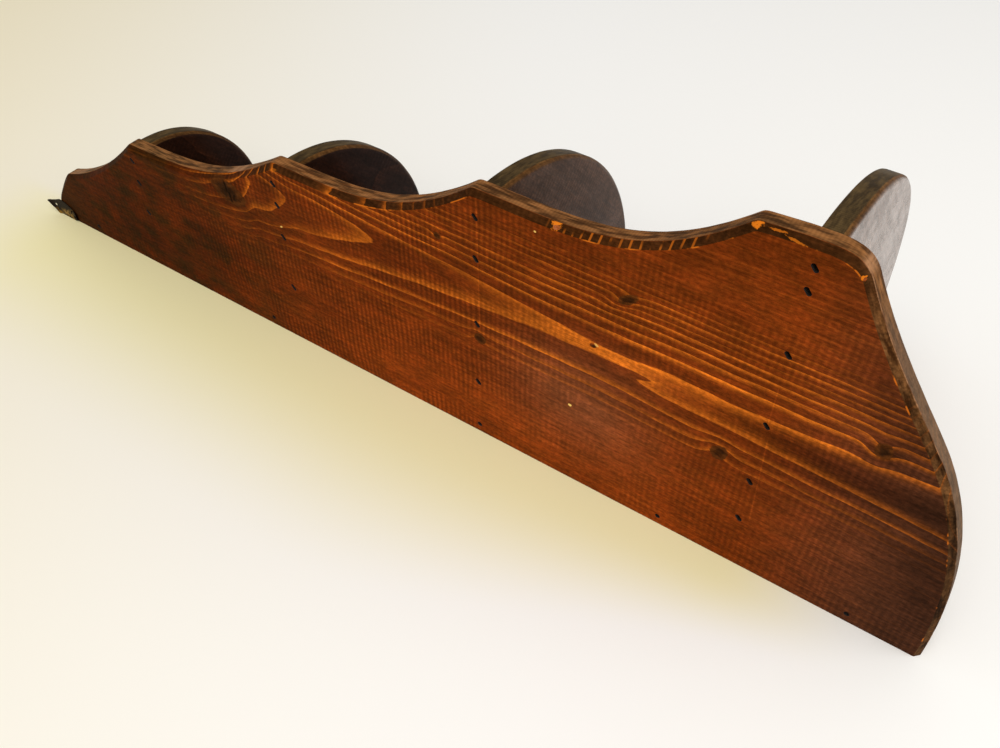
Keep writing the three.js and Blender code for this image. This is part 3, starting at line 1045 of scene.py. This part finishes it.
SHELF_LOG = {
    **LEFT_LOG,
    "centre": [(0, 150), (914, 165)],
    "pith": [(0, 30), (300, 37), (500, 44), (914, 49)],
    "knots": [(470, 172, 5, 4, 20, 5)],
    "bends": [],
    "specks": [],
    "veil_at": [],
    "clear_from": (-200, 0),
    "glow_from": EVERYWHERE,
    "soaked_from": EVERYWHERE,
    "ripple_from": EVERYWHERE,
    "ripple_to": EVERYWHERE,
    "ripple_depth": 0.45,
    "pale_edges": [],
    "worn_from": EVERYWHERE,
    "chatter_from": NOWHERE,
    "bare": [],
}
CHATTER_PITCH = 6.6      # spacing of the cutter's chatter marks on the chamfer
# Along, across, half length, half width, and how much lighter or darker the wood is there
STAIN_AND_SHADOW_PATCHES = [
    (555, 26, 170, 60, 0.55),
    (740, 195, 60, 40, 0.12),
    (308, 152, 7, 14, 0.3),
    (852, 144, 80, 16, -0.6),
    (285, 142, 34, 22, -0.2),
    (281, 143, 20, 12, -0.45),
    (837, 179, 9, 9, -0.4),
    (250, 62, 60, 34, -0.25),
    (120, 30, 50, 24, -0.2),
    (660, 62, 60, 50, 0.18),
    (560, 200, 60, 40, -0.1),
    (893, 78, 32, 50, -0.42),
    (822, 232, 12, 16, -0.3),
    (836, 212, 12, 16, -0.3),
    (851, 192, 10, 16, -0.25),
    (750, 149, 32, 8, -0.35),
    (660, 156, 55, 6, 0.4),
    (700, 250, 120, 30, 0.08),
    # Painted shadow at the curled right end of the hanger plate
    (22.5, 6, 3, 9, -0.97),
]
# Along at the low end, slant, and the lowest and highest reach across the board
SCRIBED_LINES = [(541, 0.01, 126, 240), (774, 0.05, 62, 142), (767, 0.0, 158, 190)]
# The big knot's checks: along at the low end, slant, and the lowest and highest reach
KNOT_CHECKS = [(284, 0.15, 134, 142), (280.5, 0.12, 143, 152), (287, -0.3, 137, 141)]
BOARD_SHADES = {
    "early": srgb(104, 45, 10),
    "reddish": srgb(118, 46, 10),
    # Grey of the painted reflection of the white backdrop, towards the wide end.
    "backdrop_sheen": srgb(86, 54, 36),
    # Pale veil of painted reflection.
    "sheen_veil": srgb(124, 76, 50),
    "murky": srgb(64, 42, 13),
    "late": srgb(220, 116, 30),
    "edge": srgb(62, 45, 26),
    "pale_edge": srgb(146, 100, 58),
    # Grey painted sheen on the edge round the wide end.
    "end_edge_sheen": srgb(118, 98, 80),
    "chamfer": srgb(46, 30, 13),
    "worn": srgb(172, 128, 92),
    "bare": srgb(224, 122, 28),
    "speck": srgb(250, 206, 112),
    "knot": srgb(82, 44, 15),
    "knot_heart": srgb(46, 26, 10),
}
# Near black: the shelves' stain, darkened by painted shade where the shelves shade one another.
SHELF_SHADES = {
    "early": srgb(34, 16, 8),
    "reddish": srgb(44, 20, 10),
    "backdrop_sheen": srgb(34, 16, 8),
    "sheen_veil": srgb(40, 22, 12),
    "murky": srgb(28, 18, 10),
    "late": srgb(52, 26, 13),
    "edge": srgb(58, 46, 28),
    "pale_edge": srgb(90, 72, 44),
    "end_edge_sheen": srgb(90, 72, 44),
    "chamfer": srgb(88, 58, 28),
    "worn": srgb(120, 84, 44),
    "bare": srgb(200, 130, 60),
    "speck": srgb(150, 100, 50),
    "knot": srgb(24, 14, 8),
    "knot_heart": srgb(14, 8, 5),
}
# Pale tint of the painted sheen on the lower shelves
SHELF_SHEEN_TINT = srgb(150, 106, 76)
BOARD_GLOSS = {"level": 0.015, "tint": (1.0, 0.5, 0.2, 1), "roughness": 0.4, "coat": False}
SHELF_GLOSS = {"level": 0.03, "tint": (1.0, 0.7, 0.5, 1), "roughness": 0.4, "coat": True}


def left_regions(wood):
    """Where the left board took more or less stain, with a painted shadow at the hanger plate's end,
    and the scribed lines its nails follow.
    """
    along, across = wood.along, wood.across
    narrow_end = along.smooth(400, 130) * 0.46
    wide_end = along.smooth(800, 930) * 0.4
    tone = (1.0 - narrow_end) * (1.0 - wide_end)
    for x, z, long, wide, change in STAIN_AND_SHADOW_PATCHES:
        u, v = (along - x) / long, (across - z) / wide
        tone = tone * (1.0 + (u * u + v * v).exp_of_minus() * change)
    for start, slant, lowest, highest in SCRIBED_LINES:
        off = (along - start + (across - lowest) * slant).abs()
        length = across.smooth(lowest - 6, lowest) * across.smooth(highest + 6, highest)
        tone = tone * (1.0 + off.smooth(0.8, 0.2) * length * 0.35)
    return tone


def upright_faces(normal):
    """How much a surface of an upright board is face, and how much it is end grain."""
    return normal[1], normal[0].smooth(0.3, 0.9)


def lying_faces(normal):
    """The same two measures for a board that lies flat."""
    return normal[2], normal[0].smooth(0.3, 0.9)


def shelf_faces(normal):
    """The same two measures for a shelf, whose grain runs across the corner."""
    return normal[0], (normal[1] - normal[2]).abs().smooth(0.3, 0.9)


# ---- scene ----

hole_wood = plain("hole_wood", srgb(20, 11, 6), 0.8)
bare_wood = plain("bare_wood", srgb(168, 86, 24), 0.6)

left_wood = pine(
    "left_board_wood", frame_point, upright_faces, LEFT_LOG, BOARD_SHADES, BOARD_GLOSS, left_regions
)
right_wood = pine(
    "right_board_wood", right_point, lying_faces, RIGHT_LOG, BOARD_SHADES, BOARD_GLOSS
)
shelf_wood = pine("shelf_wood", shelf_point, shelf_faces, SHELF_LOG, SHELF_SHADES, SHELF_GLOSS)
steel = metal("nail_steel", srgb(26, 20, 16), srgb(20, 12, 7), 0.75)
brass = metal("hanger_brass", srgb(152, 114, 46), srgb(26, 15, 8), 0.34, painted_ear_shade=True)

board_cuts = [(along, out, SLANT_HEAD) for _, along, _, outs in SHELVES for out in outs]
seam_cuts = [(along, SEAM_NAIL_HEIGHT, ROUND_HEAD) for along in SEAM_NAILS]

left_board = loft("left_side_board_wood", side_board_rings(0, 3), place_left)
left_board.data.materials.append(left_wood)
left_holes = [nail_hole(place_left, (x, z), head) for x, z, head in board_cuts + seam_cuts]
cut(left_board, left_holes, hole_wood)
cut(left_board, [chip(*place) for place in CHIPS], bare_wood)
finish_piece(left_board, None, "side_board_wood", "left_side_board")

right_board = loft("right_side_board_wood", side_board_rings(BOARD + GAP, 8), place_right)
right_board.data.materials.append(right_wood)
right_holes = [nail_hole(place_right, (x, z), head) for x, z, head in board_cuts]
cut(right_board, right_holes, hole_wood)
finish_piece(right_board, None, "side_board_wood", "right_side_board")

for shelf_name, centre, radius, outs in SHELVES:
    shelf = loft(shelf_name + "_wood", shelf_rings(radius, centre), place_left)
    finish_piece(shelf, shelf_wood, "shelf_wood", shelf_name)
    for number, out in enumerate(outs, 1):
        nail(f"left_{shelf_name}_nail_{number}", place_left, (centre, out), SLANT_HEAD, steel)
        nail(f"right_{shelf_name}_nail_{number}", place_right, (centre, out), SLANT_HEAD, steel)
for number, along in enumerate(SEAM_NAILS, 1):
    nail(f"seam_nail_{number}", place_left, (along, SEAM_NAIL_HEIGHT), ROUND_HEAD, steel)

finish_piece(hanger_plate(), brass, "hanger_brass", "hanger_plate")
for number, at in enumerate(HANGER_PINS, 1):
    hanger_pin(f"hanger_pin_{number}", at, steel)


def add_floor():
    """A pale floor with painted light: warmer towards the narrow end, where warm light falls, and a
    painted shadow, yellowed by bounce light, beside the board's seam.
    """
    bm = bmesh.new()
    bmesh.ops.create_grid(bm, x_segments=8, y_segments=8, size=6)
    floor = to_object("floor", bm)
    material, shader = new_material("pale_floor")
    x, y, _ = frame_point(material.node_tree)
    # Painted warm light: the floor turns cream towards the narrow end.
    warm_light = (x * 0.75 + y * 0.45).smooth(500, -400)
    colour = mix(warm_light, srgb(251, 251, 251), srgb(243, 233, 203))
    # Painted contact shadow beside the seam, yellowed by bounce light from the board, in a band that
    # narrows towards the wide end.
    width = x.smooth(900, 450) * 75 + 25
    seam_shadow = (y / width).smooth(-2.0, -0.3) * y.smooth(30, 5) * x.smooth(-120, 40)
    colour = mix(seam_shadow * x.smooth(880, 760) * 0.85, colour, srgb(245, 236, 180))
    feed(shader.inputs["Base Color"], colour)
    shader.inputs["Roughness"].default_value = 0.7
    shader.inputs["Specular IOR Level"].default_value = 0.2
    floor.data.materials.append(material)


def add_light(name, location, size, power, colour):
    light = bpy.data.lights.new(name, "AREA")
    light.shape = "DISK"
    light.size = size
    light.energy = power
    light.color = colour
    lamp = bpy.data.objects.new(name, light)
    lamp.location = location
    aim = Vector(LIGHTS_AIM) - Vector(location)
    lamp.rotation_euler = aim.to_track_quat("-Z", "Y").to_euler()
    bpy.context.scene.collection.objects.link(lamp)


def add_camera():
    camera = bpy.data.cameras.new("camera")
    camera.sensor_width = CAMERA_SENSOR
    camera.lens = CAMERA_LENS
    camera.shift_y = CAMERA_SHIFT
    eye = bpy.data.objects.new("camera", camera)
    eye.location = CAMERA_PLACE
    eye.rotation_euler = Euler((math.radians(CAMERA_TILT), 0, math.radians(CAMERA_TURN)))
    bpy.context.scene.collection.objects.link(eye)
    bpy.context.scene.camera = eye


add_floor()
world = bpy.data.worlds.new("studio")
world.use_nodes = True
world.node_tree.nodes["Background"].inputs["Color"].default_value = (1.0, 0.99, 0.965, 1)
world.node_tree.nodes["Background"].inputs["Strength"].default_value = 0.58
bpy.context.scene.world = world
bpy.context.scene.view_settings.view_transform = "Standard"
add_light("overhead", (0.75, -1.1, 2.3), size=2.4, power=36, colour=(1, 0.95, 0.86))
add_light("side", (2.2, 0.6, 1.5), size=1.4, power=9, colour=(0.95, 0.98, 1))
add_camera()

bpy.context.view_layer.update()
